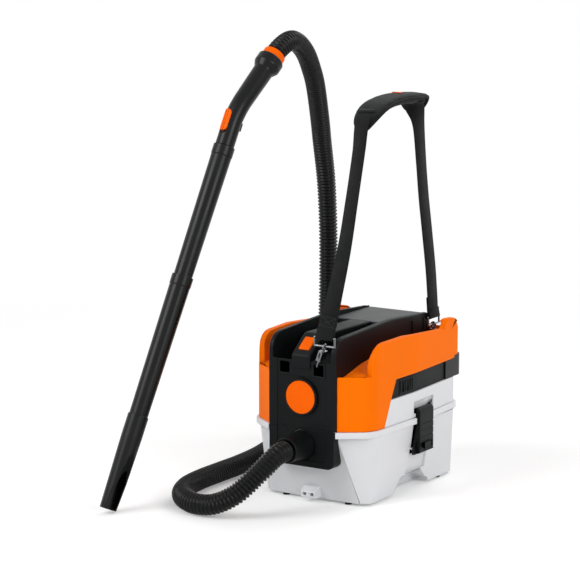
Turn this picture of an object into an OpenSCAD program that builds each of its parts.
// Portable canister vacuum cleaner with shoulder strap, hose, wand and crevice nozzle.
// Millimetres. The origin lies on the floor midway between the two front feet.
// +Z is up, the hose inlet faces -Y and +X is the right-hand side seen from the inlet.

/* [Housing] */
// Greatest width, at the middle of the bowed sides
body_w = 273; // [266:1:284]
// Width of the flat front between the slanted facets
front_w = 140; // [134:1:146]
// Reach of the front corners ahead of the front feet
front_reach = 54; // [50:1:60]
// Reach of the back behind the front feet
rear_reach = 325; // [321:1:336]
// Depth of each slanted front facet
facet_depth = 40; // [34:1:46]
// Height of the seam where the motor head lifts off the container
seam_h = 150; // [148:1:162]
// Thickness of the moulded shells
wall = 3; // [2.5:0.1:3.5]
// Gap between the head and what stays on the floor
part_gap = 0.3; // [0.3:0.05:0.5]
// Radial play of turning and sliding fits
fit_play = 0.05; // [0.03:0.01:0.09]

/* [Container] */
// Distance between the front feet
front_foot_pitch = 139; // [130:1:144]
// Distance between the rear feet
rear_foot_pitch = 212.4; // [204:0.2:214]
// Distance from the rear feet to the rear end of the container
rear_foot_inset = 51.7; // [45:0.1:63]
// Radius of the rubber feet
foot_r = 7; // [6:0.5:7.5]
// Height of the rubber feet below the container
foot_h = 5; // [4:0.5:7]
// Draft of each side from the floor to the lip
side_draft = 17; // [14:1:19]
// Height of the lip below the seam
lip_h = 12; // [10:1:14]
// Reach of the lip beyond the head
lip_out = 5; // [4:0.5:6]
// Height of the underside arch between the legs
arch_h = 36; // [32:1:40]
// Depth of the underside arch, inwards from the side
arch_depth = 34; // [28:1:38]

/* [Hose inlet] */
// Height of the inlet axis above the floor
inlet_h = 118; // [116:1:121]
// Radius of the spigot that turns in the inlet socket
spigot_r = 20; // [18:0.5:21]
// Reach of the hose cuff ahead of the front feet
cuff_reach = 113; // [110:1:116]
// Drop of the inlet panel below the seam
inlet_panel_h = 73; // [68:1:80]

/* [Latches] */
// Distance of the latches behind the front feet
latch_y = 164; // [158:1:170]
// Width of a latch
latch_w = 52; // [46:1:54]
// Height of the latch pivot below the seam
latch_drop = 66; // [62:1:68]
// Radius of the latch pins
latch_pin_r = 2; // [1.5:0.25:2.5]
// Height of the hook above its ledge when closed
hook_play = 3; // [2.8:0.1:3.4]
// Reach of the hook over its ledge
hook_grip = 2; // [1.4:0.1:2]

/* [Motor head] */
// Height of the pale lower band of the head
pale_band_h = 50; // [46:1:54]
// Height of the dark air outlet band
dark_band_h = 37; // [32:1:40]
// Height of the slanted facets above the seam
facet_h = 105; // [100:1:108]
// Height of the side arms above the seam
arm_h = 165; // [158:1:168]
// Thickness of the side arms
arm_t = 12; // [9:1:14]
// Number of slots in each air grille
grille_slots = 8; // [5:1:10]

/* [Frame and handle] */
// Width of the black frame over its side walls
frame_w = 148; // [146:1:152]
// Thickness of the frame side walls
frame_wall = 10; // [8:1:12]
// Height of the frame above the seam at its front corner
frame_h = 176; // [172:1:180]
// Width of the carrying handle
handle_w = 42; // [36:1:46]
// Thickness of the carrying handle
handle_t = 23; // [20:1:26]
// Radius of the round badge
badge_r = 32; // [28:1:34]
// Height of the badge centre above the seam
badge_h = 61; // [58:1:63]
// Side of the square strap eyes
eye_size = 21; // [18:1:21]
// Travel of the power button
button_travel = 2.5; // [1.5:0.25:3]

/* [Battery] */
// Width of the battery pack
battery_w = 78; // [70:1:84]
// Length of the battery pack
battery_l = 92; // [84:1:94]
// Height of the battery pack
battery_h = 95; // [85:1:98]

/* [Motor and filter] */
// Distance of the motor axis behind the front feet
motor_y = 95; // [92:1:98]
// Outer radius of the motor
motor_r = 45; // [40:1:48]
// Radius of the motor shaft
shaft_r = 4; // [3:0.5:5]
// Radius of the fan wheel
fan_r = 54; // [48:1:56]
// Outer radius of the filter cartridge
filter_r = 60; // [54:1:62]
// Height of the filter cartridge
filter_h = 76; // [60:1:80]

/* [Wand and hose] */
// Radius of the tube ends that plug in
plug_r = 17.5; // [16.5:0.25:18]
// Radius of the tubes at their wide upper ends
tube_r = 20.5; // [20:0.25:21.5]
// Outer radius of the hose
hose_r = 20; // [19:0.5:20]
// Radius of the turning hose collar on the wand
collar_r = 22.5; // [21.5:0.5:24]
// Length of the crevice nozzle
nozzle_l = 185; // [175:1:187]
// Travel of the air slider each way from the middle
slider_travel = 5; // [3:0.5:6]

/* [Shoulder strap] */
// Width of the webbing
strap_w = 38; // [32:1:40]
// Thickness of the webbing
strap_t = 2.5; // [2:0.25:3]
// Width of the shoulder pad
pad_w = 62; // [54:1:70]
// Thickness of the shoulder pad
pad_t = 13; // [10:1:16]
// Radius of the wire of the strap hooks and loops
wire_r = 1.7; // [1.4:0.1:1.9]

/* [Hidden] */
$fn = 64;
eps = 0.01;
big = 600;

// ---- outlines and solids that rings are skinned from ----

function unit(v) = v / norm(v);

// Arc that rounds corner c[1] of three corners [x, y, r]
function rounded_corner(a, c, b, n) =
    let (
        p = [c[0], c[1]],
        u = unit([a[0], a[1]] - p),
        v = unit([b[0], b[1]] - p),
        half = acos(max(-1, min(1, u * v))) / 2,
        centre = p + unit(u + v) * c[2] / sin(half),
        s = p + u * c[2] / tan(half) - centre,
        e = p + v * c[2] / tan(half) - centre,
        from = atan2(s[1], s[0]),
        raw = atan2(e[1], e[0]) - from,
        sweep = raw > 180 ? raw - 360 : raw < -180 ? raw + 360 : raw
    )
    [for (i = [0:n]) centre + c[2] * [cos(from + sweep * i / n), sin(from + sweep * i / n)]];

// Polygon of corners [x, y, r], where r is the radius of the corner
function rounded(corners, n = 5) =
    let (m = len(corners))
    [for (i = [0:m - 1])
        each corners[i][2] > 0
            ? rounded_corner(corners[(i + m - 1) % m], corners[i], corners[(i + 1) % m], n)
            : [[corners[i][0], corners[i][1]]]];

// Skin over rings of points, each ring counter-clockwise seen from the last ring
module skin(rings) {
    n = len(rings[0]);
    last = len(rings) - 1;
    sides = [for (i = [0:last - 1], j = [0:n - 1])
        each let (a = i * n + j, b = i * n + (j + 1) % n)
            [[a, a + n, b + n], [a, b + n, b]]];
    polyhedron(
        points = [for (ring = rings) each ring],
        faces = concat([[for (j = [0:n - 1]) j]], [[for (j = [n - 1:-1:0]) last * n + j]], sides)
    );
}

function at_height(outline, z) = [for (p = outline) [p[0], p[1], z]];

// Profile of [y, z] points pushed from x0 to x1
module along_x(profile, x0, x1) {
    translate([x0, 0, 0])
        rotate([90, 0, 90])
            linear_extrude(x1 - x0)
                polygon(profile);
}

// Profile of [x, z] points pushed from y0 to y1
module along_y(profile, y0, y1) {
    translate([0, y1, 0])
        rotate([90, 0, 0])
            linear_extrude(y1 - y0)
                polygon(profile);
}

module block(low, high) {
    translate(low)
        cube(high - low);
}

module rod_y(r, y0, y1) {
    translate([0, y1, 0])
        rotate([90, 0, 0])
            cylinder(h = y1 - y0, r = r);
}

module both_sides() {
    children();
    mirror([1, 0, 0])
        children();
}

// Everything on the motor head is measured from the seam
module on_head() {
    translate([0, 0, seam_h])
        children();
}

// ---- plan of the housing ----

side_bow = 6;
side_mid_y = 140;
rear_r = 35;
facet_r = 45;
front_r = 8;

// Plan outline, drawn in by inset, of the lower casings or of the upper ones, which reach further back
function plan(inset = 0, upper = false) =
    let (
        half = body_w / 2 - inset,
        front = front_w / 2 - inset * 0.4,
        yf = -front_reach + inset,
        yr = rear_reach + (upper ? upper_over : 0) - inset,
        right = [
            [front, yf, front_r],
            [half - side_bow, facet_depth - front_reach + inset * 0.3, facet_r - inset],
            [half, side_mid_y, 300],
            [half - side_bow - 3, yr, (upper ? upper_rear_r : rear_r) - inset]
        ]
    )
    rounded(concat(right, [for (i = [3:-1:0]) [-right[i][0], right[i][1], right[i][2]]]));

module plan_slab(inset, z0, z1, upper = false) {
    translate([0, 0, z0])
        linear_extrude(z1 - z0)
            polygon(plan(inset, upper));
}

module plan_ring(inset, t, z0, z1, upper = false) {
    difference() {
        plan_slab(inset, z0, z1, upper);
        plan_slab(inset + t, z0 - 1, z1 + 1, upper);
    }
}

// ---- container ----

base_front = 8;
base_front_w = 200;
base_facet = 12;
base_r = 14;
flange_z = seam_h - lip_h;
neck_step = 10;
legs_z = foot_h;

// Container outline at the floor (t = 0) to the neck below the lip (t = 1)
function container_plan(t, inset) =
    let (
        half = body_w / 2 - side_draft * (1 - t) - side_bow / 2 - inset,
        front = (base_front_w + (front_w - base_front_w) * t) / 2 - inset * 0.4,
        yf = -base_front + (neck_step + base_front - front_reach) * t + inset,
        yr = rear_reach - 3 - 4 * t - inset,
        facet = base_facet + (facet_depth - base_facet) * t,
        r = base_r + (rear_r - base_r) * t,
        right = [
            [front, yf, front_r],
            [half, yf + facet, r],
            [half, yr, r]
        ]
    )
    rounded(concat(right, [for (i = [2:-1:0]) [-right[i][0], right[i][1], right[i][2]]]));

module container_taper(inset, z0, z1) {
    h = flange_z - legs_z;
    skin([
        at_height(container_plan((z0 - legs_z) / h, inset), z0),
        at_height(container_plan((z1 - legs_z) / h, inset), z1)
    ]);
}

module container_outside() {
    container_taper(0, legs_z, flange_z);
    plan_slab(0, flange_z, seam_h);
}

pivot_x = body_w / 2 - 7.5;
pivot_z = seam_h - latch_drop;
latch_y0 = latch_y - latch_w / 2;
latch_y1 = latch_y + latch_w / 2;
bay_gap = 2;
bay_depth = 8.5;
bay_x = body_w / 2 - bay_depth;

// Latch bay on the right, grown by g on every side
module latch_bay(g) {
    intersection() {
        along_x([
            [latch_y0 - bay_gap - g, seam_h + 1],
            [latch_y0 - bay_gap - g, pivot_z - 6 - g],
            [latch_y0 + 5 - g, pivot_z - 16 - g],
            [latch_y0 - 14 - g, arch_h + 4 - g],
            [latch_y1 + 10 + g, arch_h + 4 - g],
            [latch_y1 + 10 + g, pivot_z - 16],
            [latch_y1 + bay_gap + g, pivot_z - 6],
            [latch_y1 + bay_gap + g, seam_h + 1]
        ], 60, big);
        along_y([
            [bay_x - side_draft * 0.9 - g, arch_h - 2 - g],
            [bay_x - g, flange_z - 14],
            [bay_x - g, seam_h + 2],
            [big, seam_h + 2],
            [big, arch_h - 2 - g]
        ], 0, big);
    }
}

arch_y0 = 82;
arch_y1 = 222;

// Underside arch on the right, grown by g on every side
module side_arch(g) {
    along_x(rounded([
        [arch_y0 - g, -1, 0],
        [arch_y0 + 10 - g, 11 + g, 4],
        [arch_y0 + 27 - g, arch_h + g, 8],
        [arch_y1 - 38 + g, arch_h + 2 + g, 12],
        [arch_y1 - 16 + g, 18 + g, 6],
        [arch_y1 + g, 10 + g, 4],
        [arch_y1 + g, -1, 0]
    ], 4), body_w / 2 - side_draft - arch_depth - g, big);
}

ear_t = 7;
ear_r = 6;

module latch_ear(y0, y1) {
    hull() {
        translate([pivot_x, 0, pivot_z])
            rod_y(ear_r, y0, y1);
        translate([pivot_x - 12, 0, pivot_z])
            rod_y(ear_r + 3, y0, y1);
    }
}

module latch_ears() {
    both_sides() {
        latch_ear(latch_y0 - bay_gap - ear_t, latch_y0 - part_gap);
        latch_ear(latch_y1 + part_gap, latch_y1 + bay_gap + ear_t);
    }
}

module container_cavity() {
    difference() {
        union() {
            container_taper(wall, legs_z + wall, flange_z);
            plan_slab(neck_step + wall + 2, flange_z - 2, seam_h + 1);
        }
        both_sides() {
            latch_bay(wall);
            side_arch(wall);
        }
        block([-big, -big, flange_z - 4], [big, -front_reach + neck_step + wall + 4, flange_z]);
    }
}

seal_inset = 5;
seal_t = 5;
seal_h = 3;

module lip() {
    difference() {
        plan_slab(-lip_out, flange_z, seam_h);
        plan_slab(eps, flange_z - 1, seam_h + 1);
        block([-frame_w / 2, -big, 0], [frame_w / 2, 0, big]);
        both_sides()
            block([60, latch_y0 - bay_gap, 0], [big, latch_y1 + bay_gap, big]);
    }
}

foot_stem_r = 3;
foot_stem_h = 7;
foot_boss_r = foot_r + 1.5;
foot_row_pitch = rear_reach - rear_foot_inset;

module foot_holes() {
    for (p = foot_places)
        translate([p[0], p[1], legs_z - 1])
            cylinder(h = foot_stem_h + 1, r = foot_stem_r);
}

foot_places = [
    for (s = [-1, 1]) [s * front_foot_pitch / 2, 0],
    for (s = [-1, 1]) [s * rear_foot_pitch / 2, foot_row_pitch]
];

module foot_bosses() {
    for (p = foot_places)
        translate([p[0], p[1], legs_z])
            cylinder(h = foot_stem_h + wall, r = foot_boss_r);
}

module container() {
    color("gainsboro")
        difference() {
            union() {
                difference() {
                    container_outside();
                    container_cavity();
                    both_sides() {
                        latch_bay(0);
                        side_arch(0);
                    }
                }
                lip();
                latch_ears();
                foot_bosses();
            }
            foot_holes();
            both_sides()
                translate([pivot_x, 0, pivot_z])
                    rod_y(
                        latch_pin_r + fit_play,
                        latch_y0 - bay_gap - ear_t - 1,
                        latch_y1 + bay_gap + ear_t + 1
                    );
            translate([0, 0, inlet_h])
                rod_y(spigot_r + 1.5, -front_reach, 0);
            plan_ring(seal_inset, seal_t, seam_h - seal_h, seam_h + 1);
        }
}

module container_seal() {
    color("dimgray")
        difference() {
            plan_ring(seal_inset, seal_t, seam_h - seal_h, seam_h);
            both_sides()
                latch_bay(0);
        }
}

module foot(p) {
    translate([p[0], p[1], 0])
        cylinder(h = legs_z, r = foot_r);
    translate([p[0], p[1], legs_z - eps])
        cylinder(h = foot_stem_h, r = foot_stem_r);
}

module front_feet() {
    color("black")
        for (i = [0, 1])
            foot(foot_places[i]);
}

module rear_feet() {
    color("black")
        for (i = [2, 3])
            foot(foot_places[i]);
}

clip_w = 32;
clip_h = 22;
clip_slot_w = 8;
clip_slot_h = 6;

module accessory_clip() {
    clip_z = foot_h + 4;
    color("whitesmoke")
        difference() {
            along_x(rounded([
                [-base_front - 26, clip_z, 3],
                [0, clip_z, 0],
                [0, clip_z + clip_h, 0],
                [-base_front - 16, clip_z + clip_h, 5],
                [-base_front - 26, clip_z + clip_h - 10, 5]
            ], 4), -clip_w / 2, clip_w / 2);
            container_outside();
            for (s = [-1, 1])
                block(
                    [s * clip_w / 4 - clip_slot_w / 2, -base_front - 30, clip_z + 5],
                    [s * clip_w / 4 + clip_slot_w / 2, -base_front - 15, clip_z + 5 + clip_slot_h]
                );
        }
}

// ---- hose inlet ----

panel_proud = 4;
panel_y = -front_reach - panel_proud;
panel_half = frame_w / 2 - 2;
panel_z0 = seam_h - inlet_panel_h;
pocket_r = 29;
pocket_depth = 13;
cuff_r = 21;
cuff_ring_r = 23.5;
cuff_ring_l = 14;

module inlet_panel() {
    color("#2b2f2f")
        difference() {
            along_y(rounded([
                [-panel_half, seam_h, 0],
                [-panel_half, panel_z0, 15],
                [panel_half, panel_z0, 15],
                [panel_half, seam_h, 0]
            ]), panel_y, 0);
            container_outside();
            translate([0, 0, inlet_h]) {
                rod_y(pocket_r, panel_y - 1, panel_y + pocket_depth);
                rod_y(spigot_r + fit_play, panel_y - 1, 1);
            }
        }
}

module inlet_cuff() {
    color("#1c1c1c")
        translate([0, 0, inlet_h])
            difference() {
                union() {
                    rod_y(spigot_r, -cuff_reach, -front_reach + neck_step + 12);
                    rod_y(cuff_r, -cuff_reach, panel_y + pocket_depth - part_gap);
                    rod_y(cuff_ring_r, -cuff_reach, -cuff_reach + cuff_ring_l);
                }
                rod_y(spigot_r - wall, -cuff_reach - 1, 1);
            }
}

// ---- latches ----

ledge_h = 8;
hook_z0 = ledge_h + hook_play;
hook_h = 5;
latch_top = hook_z0 + hook_h + 2;
latch_t = 9.5;
latch_out = body_w / 2 + latch_t;
latch_in = body_w / 2 + 0.7;
latch_grips = 3;
grip_pitch = 12.5;
grip_w = 1.6;

// Right-hand latch, closed
module latch() {
    difference() {
        union() {
            along_y(rounded([
                [latch_out - 4, seam_h + latch_top, 2],
                [body_w / 2 - hook_grip, seam_h + latch_top, 1],
                [body_w / 2 - hook_grip, seam_h + hook_z0, 0],
                [latch_in, seam_h + hook_z0, 0],
                [latch_in, seam_h - lip_h - 2, 0],
                [pivot_x - 1, seam_h - lip_h - 20, 3],
                [pivot_x - 4, pivot_z + 8, 3],
                [pivot_x - 4, pivot_z - 5, 3],
                [pivot_x + 6, pivot_z - 7, 3],
                [latch_out, pivot_z - 4, 3],
                [latch_out, seam_h + latch_top - 5, 3]
            ], 3), latch_y0, latch_y1);
        }
        for (i = [0:latch_grips - 1])
            block(
                [latch_out - 1, latch_y0 - 1, seam_h - 14 - i * grip_pitch],
                [latch_out + 1, latch_y1 + 1, seam_h - 14 + grip_w - i * grip_pitch]
            );
        translate([pivot_x, 0, pivot_z])
            rod_y(latch_pin_r + fit_play, latch_y0 - 1, latch_y1 + 1);
    }
}

module latch_right() {
    color("#222626")
        latch();
}

module latch_left() {
    color("#222626")
        mirror([1, 0, 0])
            latch();
}

module latch_pin() {
    translate([pivot_x, 0, pivot_z])
        rod_y(latch_pin_r, latch_y0 - bay_gap - ear_t, latch_y1 + bay_gap + ear_t);
}

module latch_pin_right() {
    color("silver")
        latch_pin();
}

module latch_pin_left() {
    color("silver")
        mirror([1, 0, 0])
            latch_pin();
}

// ---- motor head: shells ----

head_z0 = part_gap;
floor_t = 4;
split_y0 = 28;
split_y1 = 50;
split_y2 = 68;
band_z1 = pale_band_h + dark_band_h;
upper_over = 6;
upper_rear_r = 20;
deck_t = 3;
pocket_in = 10;
pocket_over = 7;
tray_gap = 1;
tray_x = battery_w / 2 + tray_gap + wall;
frame_rear = rear_reach - 24;
tray_y0 = frame_rear - 129;
tray_y1 = tray_y0 + battery_l + 2 * (tray_gap + wall);

// Boundary of the front cover seen from the side
split_line = [[split_y0, head_z0], [split_y1, pale_band_h], [split_y2, band_z1]];

module latch_pocket(g) {
    block(
        [body_w / 2 - pocket_in - g, latch_y0 - pocket_over - g, ledge_h - g],
        [body_w / 2 + 10, latch_y1 + 22 + g, ledge_h + 23 + g]
    );
}

module motor_housing() {
    color("whitesmoke")
        on_head()
            difference() {
                union() {
                    intersection() {
                        plan_ring(0, wall, head_z0, pale_band_h);
                        along_x([
                            split_line[0], split_line[1], [big, pale_band_h], [big, head_z0]
                        ], -big, big);
                    }
                    plan_slab(wall, head_z0, head_z0 + floor_t);
                    plan_slab(wall, pale_band_h - deck_t, pale_band_h);
                    intersection() {
                        plan_slab(0, head_z0, pale_band_h);
                        both_sides()
                            latch_pocket(wall);
                    }
                }
                both_sides()
                    latch_pocket(0);
                translate([0, motor_y, head_z0 - 1])
                    cylinder(h = floor_t + 2, r = motor_r - 5);
                translate([0, motor_y, pale_band_h - deck_t - 1])
                    cylinder(h = deck_t + 2, r = motor_r + 4);
                block([-big, -big, head_z0 + floor_t], [big, board_y, pale_band_h + 1]);
                block([-frame_x, -big, head_z0 + floor_t], [frame_x, frame_foot_y, pale_band_h + 1]);
                both_sides()
                    block([frame_in, -big, head_z0 - 1], [frame_x, frame_foot_y, head_z0 + floor_t + 1]);
                screw_holes();
            }
}

screw_r = 2;
screw_head_r = 4;
screw_places = [for (s = [-1, 1], y = [10, 240]) [s * 100, y]];

module screw_holes() {
    for (p = screw_places)
        translate([p[0], p[1], head_z0 - 1])
            cylinder(h = floor_t + 2, r = screw_r);
}

module housing_screws() {
    color("silver")
        on_head()
            for (p = screw_places)
                translate([p[0], p[1], 0]) {
                    translate([0, 0, head_z0])
                        cylinder(h = floor_t + 6, r = screw_r);
                    translate([0, 0, head_z0 + floor_t])
                        cylinder(h = 3, r = screw_head_r);
                }
}

band_in = 4;
grille_y0 = 84;
grille_y1 = 132;
grille_margin = 4;

module grille_window(g) {
    block(
        [60, grille_y0 + g, pale_band_h + grille_margin + g],
        [big, grille_y1 - g, band_z1 - grille_margin - g]
    );
}

module side_band() {
    color("#26292a")
        on_head()
            difference() {
                intersection() {
                    plan_ring(band_in, 5, pale_band_h, band_z1, true);
                    along_x([
                        split_line[1], split_line[2], [big, band_z1], [big, pale_band_h]
                    ], -big, big);
                }
                both_sides()
                    grille_window(0);
            }
}

module grille() {
    pitch = (grille_y1 - grille_y0) / grille_slots;
    difference() {
        intersection() {
            plan_ring(band_in - 1, 6, pale_band_h, band_z1, true);
            grille_window(0);
        }
        for (i = [0:grille_slots - 1])
            block(
                [60, grille_y0 + (i + 0.3) * pitch, pale_band_h + grille_margin + 3],
                [big, grille_y0 + (i + 0.7) * pitch, band_z1 - grille_margin - 3]
            );
    }
}

module vent_grille_right() {
    color("#1d2021")
        on_head()
            grille();
}

module vent_grille_left() {
    color("#1d2021")
        on_head()
            mirror([1, 0, 0])
                grille();
}

// Shelf between the frame wall and the arm: [y, height at the wall]
shelf_line = [
    [-46, 95], [-38, 100], [-4, 108], [33, 117], [107, 127], [183, 131], [rear_reach - 35, 137]
];
shelf_t = 3;
frame_x = frame_w / 2;
arm_in_x = body_w / 2 - side_bow - arm_t;

function facet_x(y) =
    let (t = min(1, max(0, (y + front_reach) / facet_depth)))
    front_w / 2 + (arm_in_x + 2 - front_w / 2) * t;

module shelf() {
    skin([for (s = shelf_line)
        let (
            x1 = max(frame_x + 4, min(facet_x(s[0]) - 1, arm_in_x + 1)),
            z1 = min(facet_h, s[1])
        )
        [
            [frame_x, s[0], s[1] - shelf_t],
            [frame_x, s[0], s[1]],
            [x1, s[0], z1],
            [x1, s[0], z1 - shelf_t]
        ]]);
}

arm_outline = rounded([
    [-8, facet_h - 6, 0],
    [-8, arm_h - 2, 38],
    [100, arm_h, 90],
    [rear_reach - 69, arm_h - 12, 6],
    [rear_reach - 55, arm_h + 6, 10],
    [rear_reach - 21, arm_h + 3, 12],
    [rear_reach + upper_over, arm_h - 34, 12],
    [rear_reach + upper_over - 14, band_z1, 0],
    [split_y2, band_z1, 0],
    [split_y2 - 12, facet_h - 20, 0]
], 6);

rear_roof_z = arm_h - 22;

module orange_cover() {
    color("#ff7300")
        on_head()
            difference() {
                union() {
                    intersection() {
                        plan_ring(0, wall, head_z0, facet_h);
                        along_x([
                            [-big, head_z0], split_line[0], split_line[1], split_line[2],
                            [split_y2, facet_h], [-big, facet_h]
                        ], -big, big);
                    }
                    intersection() {
                        plan_ring(0, arm_t, band_z1, arm_h + 20, true);
                        union() {
                            along_x(arm_outline, 60, big);
                            along_x(arm_outline, -big, -60);
                        }
                    }
                    intersection() {
                        plan_ring(0, wall, band_z1, rear_roof_z, true);
                        block([-64, 200, 0], [64, big, big]);
                    }
                    intersection() {
                        plan_slab(wall, rear_roof_z - wall, rear_roof_z, true);
                        block([-big, frame_rear, 0], [big, big, big]);
                    }
                    both_sides()
                        shelf();
                }
                block([-frame_x, -big, -1], [frame_x, frame_rear, big]);
                both_sides()
                    block(
                        [strap_rear_x - 12, frame_rear - 12.5, hook_rear_z - 12],
                        [strap_rear_x + 15, hook_rear_y + 14, big]
                    );
            }
}

// ---- motor head: frame and handle ----

frame_in = frame_x - frame_wall;
frame_foot_y = -30;
panel_top = frame_h - 46;
recess_z = panel_top - 22;
recess_y1 = tray_y0 - 10;
recess_back_t = 4;
eye_z1 = panel_top - 4.5;
eye_x0 = 27;
trough_y1 = panel_y + panel_proud + 16;

frame_profile = rounded([
    [panel_y, head_z0, 0],
    [panel_y, frame_h, 34],
    [150, frame_h + 8, 300],
    [frame_rear, frame_h - 2, 14],
    [frame_rear, 90, 0],
    [frame_foot_y, 75, 0],
    [frame_foot_y, head_z0, 0]
], 7);

strap_rear_x = frame_x + 4;
hook_rear_y = frame_rear + 5.5;
hook_rear_z = 112;
hook_front = [eye_x0 + 11, panel_y + panel_proud / 2, eye_z1 + 2.2];
hook_pin_r = 2.2;

module top_frame() {
    color("#2b2f2f")
        on_head()
            difference() {
                union() {
                    both_sides()
                        along_x(frame_profile, frame_in, frame_x);
                    block([-frame_in, panel_y, head_z0], [frame_in, panel_y + panel_proud, panel_top]);
                    block([-frame_in, trough_y1, recess_z], [frame_in, recess_y1, recess_z + wall]);
                    block([-frame_in, trough_y1, panel_top - 34], [frame_in, trough_y1 + wall, recess_z]);
                    block(
                        [-frame_in, panel_y + panel_proud, panel_top - 34],
                        [frame_in, trough_y1, panel_top - 34 + wall]
                    );
                    block(
                        [-frame_in, recess_y1, recess_z],
                        [frame_in, recess_y1 + recess_back_t, lid_z0 - part_gap]
                    );
                    block([-frame_in, frame_rear - 4, 90], [frame_in, frame_rear, lid_z0 - 12]);
                    for (s = [-1, 1], z = [board_z0 + 12, board_top - 12])
                        translate([s * 35, 0, z])
                            rod_y(3, panel_y + panel_proud, board_y);
                    for (s = [-1, 1])
                        translate([s * strap_rear_x, 0, hook_rear_z]) {
                            rod_y(hook_pin_r, frame_rear - 4, frame_rear + 10.9);
                            rod_y(hook_pin_r + 3, frame_rear - 12, frame_rear - 0.5);
                        }
                }
                for (s = [0, 1])
                    mirror([s, 0, 0])
                        block(
                            [eye_x0, panel_y - 1, eye_z1 - eye_size],
                            [eye_x0 + eye_size, panel_y + 6, eye_z1]
                        );
                translate([0, lid_pivot_y, lid_z0])
                    rotate([0, 90, 0])
                        cylinder(h = 2 * (frame_in + 5), r = lid_pin_r + fit_play, center = true);
            }
}

slope_y0 = panel_y - panel_proud;
slope_z0 = frame_h - 34;
slope_y1 = -14;
slope_a = atan2(frame_h + 1 - slope_z0, slope_y1 - slope_y0);
button_w = 25;
button_l = 33;
button_depth = 8;
button_proud = 1.5;

// Frame of the sloping handle front: z outwards, y up the slope
module on_slope() {
    translate([0, slope_y0, slope_z0])
        rotate([slope_a, 0, 0])
            translate([0, 31, 0])
                children();
}

module carry_handle() {
    color("#24282a")
        on_head()
            difference() {
                along_x(rounded([
                    [slope_y0, panel_top - 14, 2],
                    [slope_y0, slope_z0, 8],
                    [slope_y1, frame_h + 1, 16],
                    [recess_y1, frame_h - 2, 0],
                    [recess_y1, frame_h - 2 - handle_t, 0],
                    [6, frame_h - 1 - handle_t, 24],
                    [trough_y1 + 10, panel_top, 0],
                    [panel_y, panel_top, 0],
                    [panel_y, panel_top - 14, 0]
                ], 6), -handle_w / 2, handle_w / 2);
                on_slope()
                    block(
                        [-button_w / 2, -button_l / 2, -button_depth],
                        [button_w / 2, button_l / 2, 20]
                    );
            }
}

module power_button() {
    color("#ff7a10")
        on_head()
            on_slope()
                block(
                    [-button_w / 2 + part_gap, -button_l / 2 + part_gap, -button_depth + button_travel + 0.5],
                    [button_w / 2 - part_gap, button_l / 2 - part_gap, button_proud]
                );
}

badge_proud = 5;

module badge_ring() {
    color("#1f2222")
        on_head()
            translate([0, 0, badge_h])
                difference() {
                    rod_y(badge_r + 4, panel_y - badge_proud, panel_y);
                    rod_y(badge_r, panel_y - badge_proud - 1, panel_y + 1);
                }
}

module badge_disc() {
    color("#ff7a10")
        on_head()
            translate([0, 0, badge_h])
                rod_y(badge_r, panel_y - badge_proud + 1, panel_y);
}

// ---- battery ----

lid_pivot_y = frame_rear - 6;
lid_z0 = frame_h - 8;
lid_t = 4;
lid_pin_r = 2;
lid_barrel_r = 4;
tray_top = lid_z0 - 10;
tray_z0 = pale_band_h;

module battery_tray() {
    color("#202324")
        on_head()
            difference() {
                block([-tray_x, tray_y0, tray_z0], [tray_x, tray_y1, tray_top]);
                block(
                    [-tray_x + wall, tray_y0 + wall, tray_z0 + wall],
                    [tray_x - wall, tray_y1 - wall, tray_top + 1]
                );
            }
}

terminal_h = 6;

module battery_terminals() {
    color("gold")
        on_head()
            for (x = [-20, -7, 7, 20])
                block(
                    [x - 1, tray_y0 + 20, tray_z0 + wall],
                    [x + 1, tray_y0 + 40, tray_z0 + wall + terminal_h]
                );
}

module battery_pack() {
    z0 = tray_z0 + wall + tray_gap;
    color("#303436")
        on_head()
            difference() {
                block(
                    [-battery_w / 2, tray_y0 + wall + tray_gap, z0],
                    [battery_w / 2, tray_y0 + wall + tray_gap + battery_l, z0 + battery_h]
                );
                for (x = [-20, -7, 7, 20])
                    block([x - 2, tray_y0 + 18, z0 - 1], [x + 2, tray_y0 + 42, z0 + terminal_h + 1]);
                for (s = [-1, 1])
                    block(
                        [s * battery_w / 2 - 3, tray_y0, z0 + battery_h - 24],
                        [s * battery_w / 2 + 3, tray_y1, z0 + battery_h - 12]
                    );
            }
}

module battery_lid() {
    color("#6f7070")
        on_head() {
            block(
                [-frame_in + 0.5, recess_y1 + recess_back_t / 4, lid_z0],
                [frame_in - 0.5, lid_pivot_y, lid_z0 + lid_t]
            );
            translate([0, lid_pivot_y, lid_z0])
                rotate([0, 90, 0]) {
                    cylinder(h = 2 * frame_in - 1, r = lid_barrel_r, center = true);
                    cylinder(h = 2 * frame_in + 8, r = lid_pin_r, center = true);
                }
        }
}

// ---- motor, fan and filter ----

shroud_h = 22;
shroud_z0 = head_z0 + floor_t;
stator_z0 = shroud_z0 + shroud_h;
plate_t = 10;
stator_h = 62;
bearing_h = 7;
bearing_r = 11;
core_r = motor_r - 18;
rotor_gap = 1;

module at_motor(z) {
    translate([0, motor_y, z])
        children();
}

module fan_shroud() {
    color("#3a3d3f")
        on_head()
            at_motor(shroud_z0)
                difference() {
                    cylinder(h = shroud_h, r = fan_r + 6);
                    translate([0, 0, wall])
                        cylinder(h = shroud_h, r = fan_r + 3);
                    translate([0, 0, -1])
                        cylinder(h = wall + 2, r = motor_r - 15);
                    for (a = [30:60:330])
                        rotate([0, 0, a])
                            block([fan_r, -8, wall + 3], [fan_r + 10, 8, shroud_h - 4]);
                }
}

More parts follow.
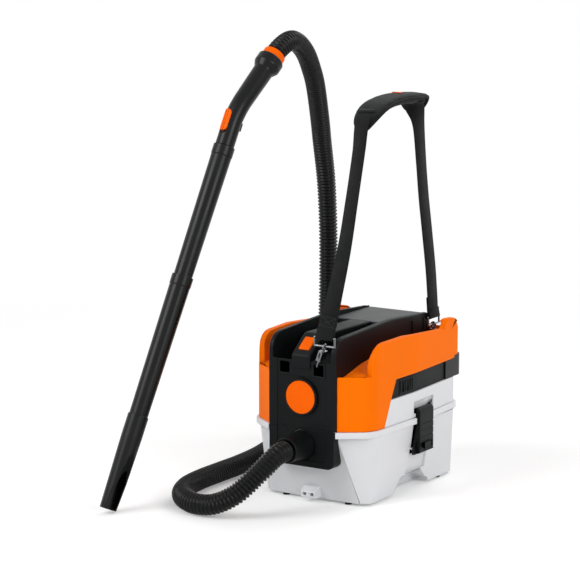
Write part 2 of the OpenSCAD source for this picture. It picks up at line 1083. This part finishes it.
module motor_stator() {
    color("#7d8082")
        on_head()
            at_motor(stator_z0)
                difference() {
                    union() {
                        cylinder(h = stator_h, r = motor_r);
                        cylinder(h = 3, r = fan_r + 6);
                    }
                    translate([0, 0, plate_t])
                        cylinder(h = stator_h - 2 * plate_t, r = core_r + rotor_gap);
                    translate([0, 0, -1])
                        cylinder(h = stator_h + 2, r = bearing_r);
                }
}

module bearing() {
    difference() {
        cylinder(h = bearing_h, r = bearing_r);
        translate([0, 0, -1])
            cylinder(h = bearing_h + 2, r = shaft_r + fit_play);
    }
}

module motor_bearings() {
    color("silver")
        on_head() {
            at_motor(stator_z0 + 1)
                bearing();
            at_motor(stator_z0 + stator_h - bearing_h - 1)
                bearing();
        }
}

blade_count = 9;

module motor_rotor() {
    fan_z = shroud_z0 + wall + 3;
    color("#a8abad")
        on_head() {
            at_motor(fan_z)
                cylinder(h = stator_z0 + stator_h + 3 - fan_z, r = shaft_r);
            at_motor(stator_z0 + plate_t + 2)
                cylinder(h = stator_h - 2 * plate_t - 4, r = core_r);
            at_motor(fan_z + 9)
                cylinder(h = 2, r = fan_r);
            at_motor(fan_z)
                for (i = [0:blade_count - 1])
                    rotate([0, 0, i * 360 / blade_count])
                        block([shaft_r + 4, -1, 0], [fan_r - 1, 1, 10]);
            at_motor(fan_z)
                cylinder(h = 12, r = shaft_r + 5);
        }
}

cage_r = 33;
cage_flange_r = filter_r + 4;
cage_top = head_z0;
cage_bottom = cage_top - wall - filter_h;
knob_r = 22;
knob_stem_r = 6;

module filter_cage() {
    color("#3a3d3f")
        on_head()
            difference() {
                union() {
                    at_motor(cage_top - wall)
                        cylinder(h = wall, r = cage_flange_r);
                    at_motor(cage_bottom - wall)
                        cylinder(h = filter_h + 2 * wall, r = cage_r);
                }
                at_motor(cage_bottom)
                    cylinder(h = filter_h + wall + 1, r = cage_r - 2);
                for (i = [0:3])
                    at_motor(cage_bottom + 10)
                        rotate([0, 0, 45 + 90 * i])
                            block([20, -12, 0], [cage_r + 5, 12, filter_h - 20]);
                at_motor(cage_bottom - wall - 1)
                    cylinder(h = wall + 2, r = knob_stem_r + fit_play);
            }
}

pleats = 36;

module filter_cartridge() {
    color("ivory")
        on_head()
            at_motor(cage_bottom)
                difference() {
                    union() {
                        linear_extrude(filter_h)
                            polygon([for (i = [0:2 * pleats - 1])
                                let (r = filter_r - 1 - (i % 2) * 4)
                                r * [cos(i * 180 / pleats), sin(i * 180 / pleats)]]);
                        cylinder(h = 4, r = filter_r);
                        translate([0, 0, filter_h - 4])
                            cylinder(h = 4, r = filter_r);
                    }
                    translate([0, 0, -1])
                        cylinder(h = filter_h + 2, r = cage_r);
                }
}

module filter_knob() {
    color("#ff7a10")
        on_head()
            at_motor(cage_bottom - wall - part_gap) {
                translate([0, 0, -6])
                    cylinder(h = 6, r = knob_r);
                translate([0, 0, -1])
                    cylinder(h = 12, r = knob_stem_r);
                translate([0, 0, -16])
                    linear_extrude(11)
                        square([knob_r * 1.7, 7], center = true);
            }
}

board_y = panel_y + panel_proud + 6;
board_z0 = 18;
board_top = panel_top - 38;

module control_board() {
    color("darkgreen")
        on_head() {
            block([-45, board_y, board_z0], [45, board_y + 1.6, board_top]);
            for (x = [-28, 0, 28])
                block([x - 7, board_y + 1.6, board_z0 + 22], [x + 7, board_y + 9, board_z0 + 40]);
        }
}

// ---- wand ----

wand_tip = [-274, -304, 3];
wand_tilt = 24.4;
wand_heading = 76.4;
tip_gap = 6;
plug_l = 36;
nozzle_top = tip_gap + nozzle_l;
lower_top = nozzle_top + 276.5;
upper_top = lower_top + 261.5;
bend = upper_top + 70;
grip_tilt = 47.8;
grip_heading = 80.9;
grip_l = 138;
neck_l = 13;
neck_r = 19;
grip_r = 18.5;
grip_flare_r = 26.5;
bore_r = plug_r - 2;

// Frame of the straight wand: z runs up the tubes
module on_wand(s) {
    translate(wand_tip)
        rotate([0, wand_tilt, wand_heading])
            translate([0, 0, s])
                children();
}

// Unit vector at an angle of tilt from +z, leaning towards heading
function leaning(tilt, heading) = [sin(tilt) * cos(heading), sin(tilt) * sin(heading), cos(tilt)];

// Frame of the bent grip: z runs towards the hose
module on_grip() {
    translate(wand_tip + bend * leaning(wand_tilt, wand_heading))
        rotate([0, grip_tilt, grip_heading])
            children();
}

// One plastic tube with a plug below and a socket above
module wand_tube(s0, s1) {
    on_wand(s0)
        difference() {
            union() {
                translate([0, 0, -plug_l])
                    cylinder(h = plug_l + 1, r = plug_r);
                cylinder(h = s1 - s0 - plug_l, r1 = plug_r + 0.5, r2 = tube_r - 0.5);
                translate([0, 0, s1 - s0 - plug_l - eps])
                    cylinder(h = plug_l + eps, r1 = tube_r - 0.5, r2 = tube_r);
            }
            translate([0, 0, -plug_l - 1])
                cylinder(h = s1 - s0 + plug_l, r = bore_r);
            translate([0, 0, s1 - s0 - plug_l - part_gap])
                cylinder(h = plug_l + 1, r = plug_r + fit_play);
        }
}

module wand_tube_lower() {
    color("#2b2e2e")
        wand_tube(nozzle_top, lower_top);
}

module wand_tube_upper() {
    color("#2b2e2e")
        wand_tube(lower_top, upper_top);
}

nozzle_socket = 42;
mouth_r = 14.5;
tip_r = 17.3;
flat_in = 15;

module crevice_nozzle() {
    straight = nozzle_l - nozzle_socket;
    color("#222525")
        on_wand(tip_gap)
            difference() {
                union() {
                    cylinder(h = straight, r1 = tip_r, r2 = tube_r - 0.5);
                    translate([0, 0, straight - eps])
                        cylinder(h = nozzle_socket + eps, r = tube_r - 0.5);
                }
                difference() {
                    translate([0, 0, -1])
                        cylinder(h = nozzle_l, r1 = mouth_r, r2 = bore_r);
                    oblique_cut(straight, flat_in - 3);
                }
                oblique_cut(straight, flat_in);
                translate([0, 0, nozzle_l - plug_l - 1])
                    cylinder(h = plug_l + 2, r = plug_r + fit_play);
            }
}

// Slanted half-space on the -y side, d deep at the tip and nothing at height h
module oblique_cut(h, d) {
    along_x([[-tip_r - 40, -2], [-tip_r - 2 + d, -2], [-tube_r - 6, h + 20], [-tip_r - 40, h + 20]], -40, 40);
}

slider_w = 18;
slider_l = 44;
slider_t = 4;
slider_s = bend - 22;
track_gap = 0.4;
knuckle = 0.4;

module wand_handle() {
    color("#2b2e2e")
        difference() {
            union() {
                on_wand(upper_top - plug_l)
                    cylinder(h = plug_l + 1, r = plug_r);
                on_wand(upper_top)
                    cylinder(h = bend - upper_top, r = grip_r);
                on_wand(bend)
                    sphere(r = grip_r + knuckle);
                on_grip() {
                    cylinder(h = grip_l - 30, r1 = grip_r, r2 = neck_r + 1);
                    translate([0, 0, grip_l - 30 - eps])
                        cylinder(h = 12, r1 = neck_r + 1, r2 = grip_flare_r);
                    translate([0, 0, grip_l - 18 - 2 * eps])
                        cylinder(h = 18, r = grip_flare_r);
                    translate([0, 0, grip_l - 1])
                        cylinder(h = neck_l, r = neck_r);
                }
            }
            on_wand(upper_top - plug_l - 1)
                cylinder(h = bend - upper_top + plug_l + 1, r = bore_r - 0.5);
            on_wand(bend)
                sphere(r = bore_r - 0.5 + knuckle);
            on_grip()
                cylinder(h = grip_l + neck_l + 5, r = bore_r - 0.5);
            on_wand(slider_s)
                block(
                    [-grip_r - 10, -slider_w / 2, -slider_l / 2 - slider_travel - 1],
                    [-grip_r + slider_t - 1.2, slider_w / 2, slider_l / 2 + slider_travel + 1]
                );
            on_wand(slider_s)
                rotate([0, -90, 0])
                    cylinder(h = 40, r = 5);
        }
}

module air_slider() {
    color("#ff7a10")
        on_wand(slider_s)
            intersection() {
                block(
                    [-grip_r - 2.5, -slider_w / 2 + track_gap, -slider_l / 2],
                    [-grip_r + slider_t - 1.2 - track_gap, slider_w / 2 - track_gap, slider_l / 2]
                );
                translate([0, 0, -slider_l])
                    cylinder(h = 2 * slider_l, r = grip_r + 2);
            }
}

module handle_lug() {
    color("#1d1f1f")
        on_wand(slider_s - 2)
            difference() {
                block([0, -5, -8], [grip_r + 6, 5, 8]);
                translate([0, 0, -20])
                    cylinder(h = 40, r = grip_r);
            }
}

module hose_collar() {
    color("#ff6a00")
        on_grip()
            translate([0, 0, grip_l])
                difference() {
                    cylinder(h = neck_l + 1, r = collar_r);
                    translate([0, 0, -1])
                        cylinder(h = neck_l + 3, r = neck_r + fit_play);
                }
}

// ---- hose ----

hose_wall = 2.2;
hose_sides = 12;

// Centre line of the hose from the inlet cuff to the wand
hose_path = [
    [0, -113.3, 118], [-3, -142, 113], [-20, -176, 84], [-50, -205, 48], [-88, -219, 27],
    [-128, -219, 21], [-165, -203, 21], [-198, -168, 21], [-220, -118, 21], [-228, -60, 21],
    [-229, 0, 21], [-229, 70, 21], [-236, 150, 21], [-255, 240, 21], [-272, 325, 21],
    [-281, 395, 27], [-285, 445, 56], [-285, 474, 112], [-283, 487, 185], [-281, 492, 263],
    [-286, 502, 355], [-291, 508, 445], [-291, 500, 535], [-283, 471, 619], [-268, 437, 675],
    [-247, 387, 745], [-230, 343, 785], [-212, 295, 818], [-195, 245, 841], [-184, 208, 852],
    [-178, 184, 855], [-175.5, 162, 852], [-176.5, 142.3, 843.3], [-178.5, 128.2, 833]
];

// Smooth curve through the points: n pieces in each span
function spline_at(p, i, t) =
    let (
        a = p[max(i - 1, 0)],
        b = p[i],
        c = p[i + 1],
        d = p[min(i + 2, len(p) - 1)]
    )
    0.5 * (2 * b + (c - a) * t + (2 * a - 5 * b + 4 * c - d) * t * t + (3 * b - a - 3 * c + d) * t * t * t);

function spline(p, n) = concat(
    [for (i = [0:len(p) - 2], k = [0:n - 1]) spline_at(p, i, k / n)],
    [p[len(p) - 1]]
);

// Direction that the hose never runs along, so that its rings don't twist
sweep_ref = [1, -0.5, 1];

// Tube around a path, with a ring square to it at each point and to start and finish at its ends
module swept_tube(path, r, start, finish) {
    last = len(path) - 1;
    skin([for (i = [0:last])
        let (
            d = i == 0 ? start : i == last ? finish : unit(path[i + 1] - path[i - 1]),
            side = unit(cross(d, sweep_ref)),
            up = cross(d, side)
        )
        [for (k = [0:hose_sides - 1])
            path[i] + r * (cos(k * 360 / hose_sides) * side + sin(k * 360 / hose_sides) * up)]]);
}

module hose() {
    path = spline(hose_path, 2);
    last = len(path) - 1;
    past = 4;
    start = [0, -1, 0];
    finish = -leaning(grip_tilt, grip_heading);
    color("#202222")
        difference() {
            swept_tube(path, hose_r, start, finish);
            swept_tube(
                concat([path[0] - past * start], path, [path[last] + past * finish]),
                hose_r - hose_wall, start, finish
            );
        }
}

// ---- shoulder strap ----

// Bolt snap hook with its hook round a bar along x through the origin
module snap_hook() {
    loop_r = 6.5;
    difference() {
        union() {
            rotate([0, 90, 0])
                rotate([0, 0, -90])
                    rotate_extrude(angle = 180)
                        translate([loop_r, 0])
                            circle(r = wire_r);
            translate([0, loop_r, -eps])
                cylinder(h = 10, r = wire_r);
            block([-4.5, -loop_r - 3.2, 8], [4.5, loop_r + 2.5, 28]);
            translate([0, 0, 28 - eps])
                cylinder(h = 4, r = 3);
            translate([0, 0, hook_eye_z])
                rotate([0, 90, 0])
                    rotate_extrude()
                        translate([hook_eye_r, 0])
                            circle(r = wire_r);
        }
        translate([0, -loop_r, 7])
            cylinder(h = 20, r = bolt_r + fit_play);
        block([-1.6, -loop_r - 4, 13.5], [1.6, -loop_r, 24.5]);
    }
}

hook_eye_r = 5;
hook_eye_z = 36;
bolt_r = 1.3;

module hook_bolt() {
    translate([0, -6.5, 0.3])
        cylinder(h = 20, r = bolt_r);
    translate([0, -6.5, 16])
        rotate([90, 0, 0])
            cylinder(h = 6, r = 1.2);
}

ring_half = strap_w / 2 + 3;
ring_h = 16;
ring_wire_r = 2;

// Rectangular wire loop, its lower bar along x through the origin
module wire_loop() {
    for (s = [-1, 1]) {
        translate([s * ring_half, 0, 0])
            cylinder(h = ring_h, r = ring_wire_r);
        for (z = [0, ring_h])
            translate([s * ring_half, 0, z])
                sphere(r = ring_wire_r, $fn = 32);
    }
    for (z = [0, ring_h])
        translate([0, 0, z])
            rotate([0, 90, 0])
                cylinder(h = 2 * ring_half, r = ring_wire_r, center = true);
}

hook_tilt = 19;
ring_rise = hook_eye_z + hook_eye_r - wire_r - ring_wire_r - fit_play;

module at_front_hook() {
    on_head()
        translate(hook_front)
            rotate([0, hook_tilt, 0])
                children();
}

module at_rear_hook() {
    on_head()
        translate([strap_rear_x, hook_rear_y, hook_rear_z])
            children();
}

module snap_hook_front() {
    color("silver")
        at_front_hook()
            snap_hook();
}

module snap_hook_rear() {
    color("silver")
        at_rear_hook()
            rotate([0, 0, 90])
                snap_hook();
}

module hook_bolt_front() {
    color("lightgray")
        at_front_hook()
            hook_bolt();
}

module hook_bolt_rear() {
    color("lightgray")
        at_rear_hook()
            rotate([0, 0, 90])
                hook_bolt();
}

module strap_ring_front() {
    color("silver")
        at_front_hook()
            translate([0, 0, ring_rise])
                rotate([0, -hook_tilt, 0])
                    wire_loop();
}

module strap_ring_rear() {
    color("silver")
        at_rear_hook()
            translate([0, 0, ring_rise])
                rotate([0, 0, 90])
                    wire_loop();
}

// Flat band along points [x, y, z, turn of its width from x towards y]
module ribbon(points, w, t) {
    last = len(points) - 1;
    function place(i) = [points[i][0], points[i][1], points[i][2]];
    skin([for (i = [0:last])
        let (
            d = unit(place(min(i + 1, last)) - place(max(i - 1, 0))),
            a = points[i][3],
            across = unit(cross(cross(d, [cos(a), sin(a), 0]), d)),
            out = cross(d, across)
        )
        [
            place(i) - across * w / 2 - out * t / 2,
            place(i) + across * w / 2 - out * t / 2,
            place(i) + across * w / 2 + out * t / 2,
            place(i) - across * w / 2 + out * t / 2
        ]]);
}

ring_front_top = [
    hook_front[0] + sin(hook_tilt) * ring_rise,
    hook_front[1],
    hook_front[2] + cos(hook_tilt) * ring_rise + ring_h + ring_wire_r
];
ring_rear_top = [strap_rear_x, hook_rear_y, hook_rear_z + ring_rise + ring_h + ring_wire_r];
web_gap = 0.3;
web_end = 9;

front_band = [
    [ring_front_top[0], ring_front_top[1], ring_front_top[2] + web_gap, 0],
    [ring_front_top[0], ring_front_top[1], ring_front_top[2] + web_end, 0],
    [53, -46, 210, 0], [54, -31, 248, 5], [56, 3, 338, 20], [58, 27, 429, 35],
    [60, 48, 510, 45], [61, 62, 560, 45]
];
pad_line = [
    [61, 63, 566, 45], [62, 76, 581, 30], [63, 98, 595, 15], [64, 130, 604, 0],
    [65, 170, 607, 0], [66, 210, 606, 0], [66, 236, 601, 15], [67, 250, 592, 30]
];
rear_band = [
    [67, 253, 588, 60], [69, 259, 540, 80], [71, 264, 479, 90], [73, 272, 408, 90],
    [75, 283, 339, 90], [77, 296, 257, 90],
    [ring_rear_top[0], ring_rear_top[1], ring_rear_top[2] + web_end, 90],
    [ring_rear_top[0], ring_rear_top[1], ring_rear_top[2] + web_gap, 90]
];

module strap_front() {
    color("#1b1b1b")
        on_head()
            ribbon(front_band, strap_w, strap_t);
}

module strap_rear() {
    color("#1b1b1b")
        on_head()
            ribbon(rear_band, strap_w, strap_t);
}

module strap_pad() {
    color("#151515")
        on_head()
            ribbon(pad_line, pad_w, pad_t);
}

container();
container_seal();
inlet_panel();
front_feet();
rear_feet();
accessory_clip();
latch_pin_left();
latch_pin_right();
latch_left();
latch_right();
inlet_cuff();
hose();
hose_collar();
wand_handle();
handle_lug();
air_slider();
wand_tube_upper();
wand_tube_lower();
crevice_nozzle();
motor_housing();
side_band();
vent_grille_left();
vent_grille_right();
orange_cover();
top_frame();
carry_handle();
power_button();
badge_ring();
badge_disc();
battery_tray();
battery_terminals();
battery_pack();
battery_lid();
motor_stator();
motor_bearings();
motor_rotor();
fan_shroud();
filter_cage();
filter_cartridge();
filter_knob();
control_board();
housing_screws();
strap_front();
strap_pad();
strap_rear();
strap_ring_front();
strap_ring_rear();
snap_hook_front();
snap_hook_rear();
hook_bolt_front();
hook_bolt_rear();
